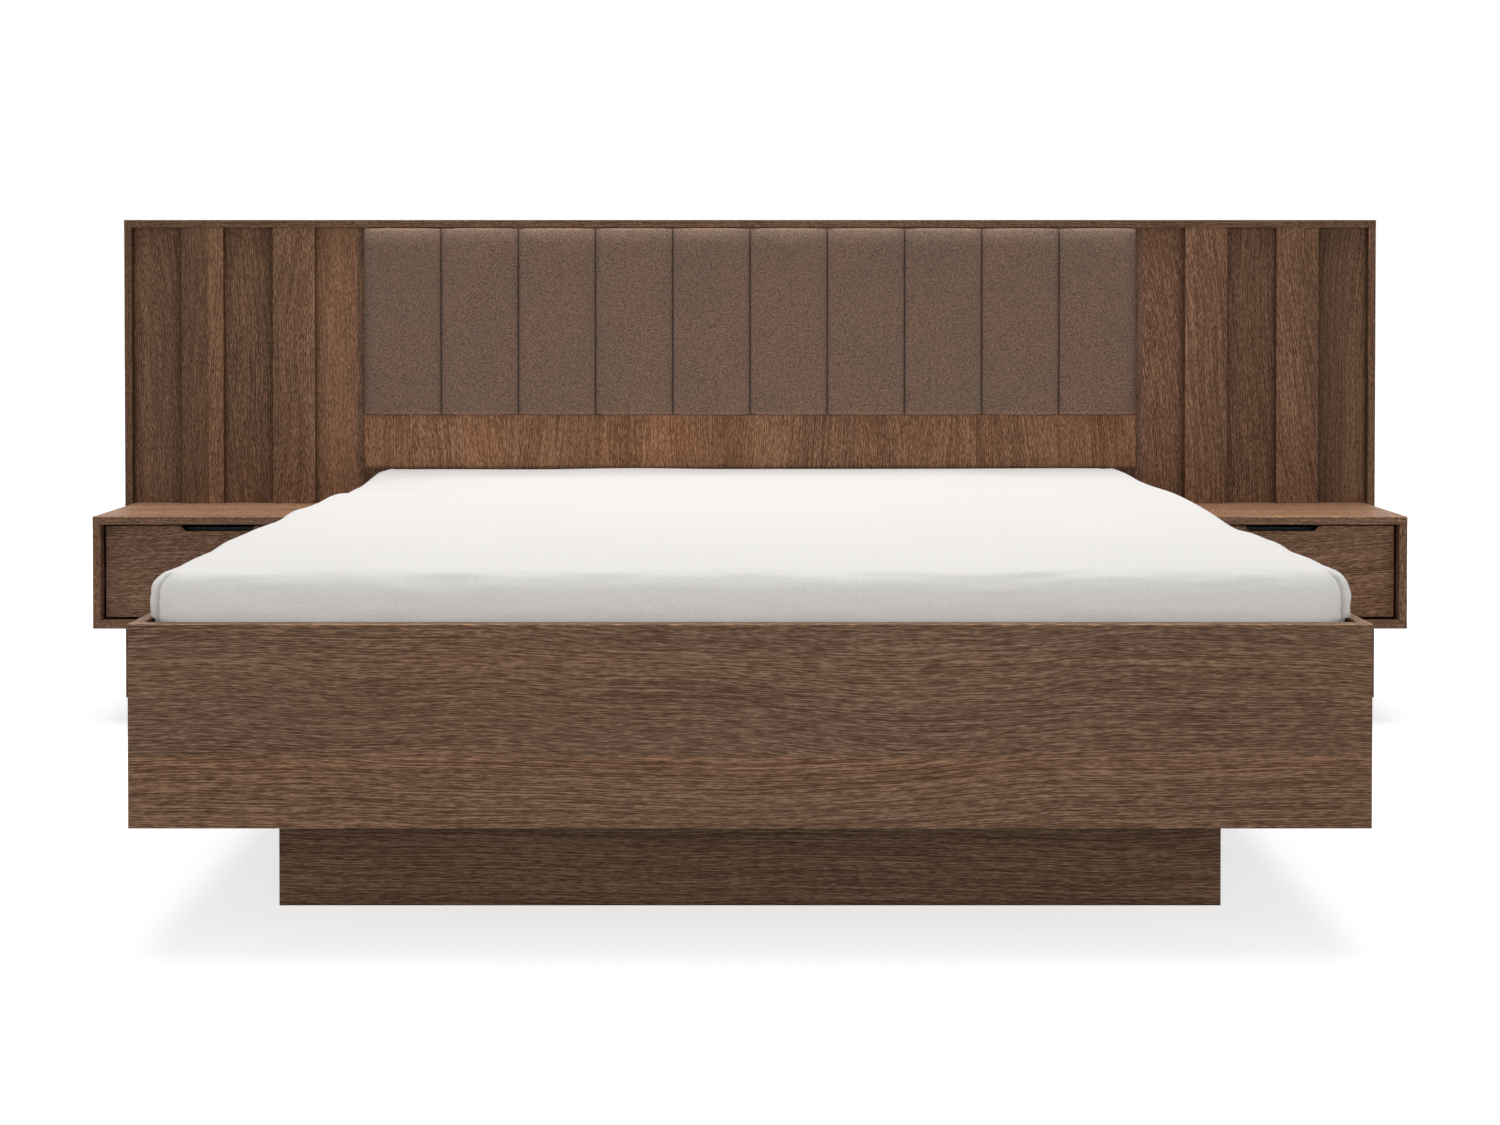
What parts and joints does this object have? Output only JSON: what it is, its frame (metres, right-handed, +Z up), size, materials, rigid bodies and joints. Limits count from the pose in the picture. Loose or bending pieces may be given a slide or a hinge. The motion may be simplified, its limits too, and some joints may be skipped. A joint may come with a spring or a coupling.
{
  "type": "platform bed with nightstands",
  "caption": "Wide platform bed on a recessed plinth, with mattress, channelled upholstered headboard panel, raised planks and hung nightstands with sliding drawers.",
  "frame": {"origin": "on the floor, under the middle of the whole bed and headboard", "axes": "+X across the bed towards the right nightstand as seen from the foot, -Y towards the foot of the bed, +Z up"},
  "size_m": [3, 2.086, 1.152],
  "materials": {
    "walnut": "dark walnut veneer with open pores, satin",
    "birch": "plain plywood and softwood",
    "drawer_board": "plain veneered drawer board",
    "upholstery": "taupe pebbled leatherette, satin",
    "ticking": "woven mattress cover",
    "sheet": "plain white cotton",
    "charcoal": "charcoal anodised",
    "steel": "zinc plated",
    "black_plastic": "moulded, matt"
  },
  "bodies": {
    "root": {"footboard": "walnut", "left_side_rail": "walnut", "right_side_rail": "walnut", "plinth_front": "walnut", "plinth_back": "walnut", "left_plinth_side": "walnut", "right_plinth_side": "walnut", "top_rail": "walnut", "left_stile": "walnut", "right_stile": "walnut", "left_back_board": "walnut", "right_back_board": "walnut", "centre_back_board": "walnut", "left_planks": "walnut", "right_planks": "walnut", "lower_panel": "walnut", "left_ledger": "birch", "right_ledger": "birch", "centre_beam": "birch", "cross_rail_front": "birch", "cross_rail_back": "birch", "slats": "birch", "cushion_board": "birch", "upper_batten": "birch", "lower_batten": "birch", "bed_brackets": "steel", "joining_plates": "steel", "stand_hangers": "steel", "slat_holders": "black_plastic", "headboard_glides": "black_plastic", "mattress": "ticking", "fitted_sheet": "sheet", "cushion": "upholstery", "left_stand_top": "walnut", "left_stand_bottom": "walnut", "left_stand_inner_side": "walnut", "left_stand_outer_side": "walnut", "left_stand_back": "walnut", "left_cabinet_runners": "steel", "right_stand_top": "walnut", "right_stand_bottom": "walnut", "right_stand_inner_side": "walnut", "right_stand_outer_side": "walnut", "right_stand_back": "walnut", "right_cabinet_runners": "steel"},
    "left_drawer": {"left_drawer_runners": "steel", "left_drawer_front": "walnut", "left_drawer_pull": "charcoal", "left_drawer_sides": "drawer_board", "left_drawer_back": "drawer_board", "left_drawer_bottom": "drawer_board"},
    "left_runner_middle": {"left_middle_runners": "steel"},
    "right_drawer": {"right_drawer_runners": "steel", "right_drawer_front": "walnut", "right_drawer_pull": "charcoal", "right_drawer_sides": "drawer_board", "right_drawer_back": "drawer_board", "right_drawer_bottom": "drawer_board"},
    "right_runner_middle": {"right_middle_runners": "steel"}
  },
  "joints": [
    {"name": "left_drawer_slide", "type": "slide", "parent": "root", "child": "left_drawer", "axis": [0, -1, 0], "range_m": [0, 0.25]},
    {"name": "left_runner_slide", "type": "slide", "parent": "root", "child": "left_runner_middle", "axis": [0, -1, 0], "range_m": [0, 0.125]},
    {"name": "right_drawer_slide", "type": "slide", "parent": "root", "child": "right_drawer", "axis": [0, -1, 0], "range_m": [0, 0.25]},
    {"name": "right_runner_slide", "type": "slide", "parent": "root", "child": "right_runner_middle", "axis": [0, -1, 0], "range_m": [0, 0.125]}
  ],
  "couplings": [
    {"joint": "left_runner_slide", "follows": "left_drawer_slide", "ratio": 0.5},
    {"joint": "right_runner_slide", "follows": "right_drawer_slide", "ratio": 0.5}
  ]
}
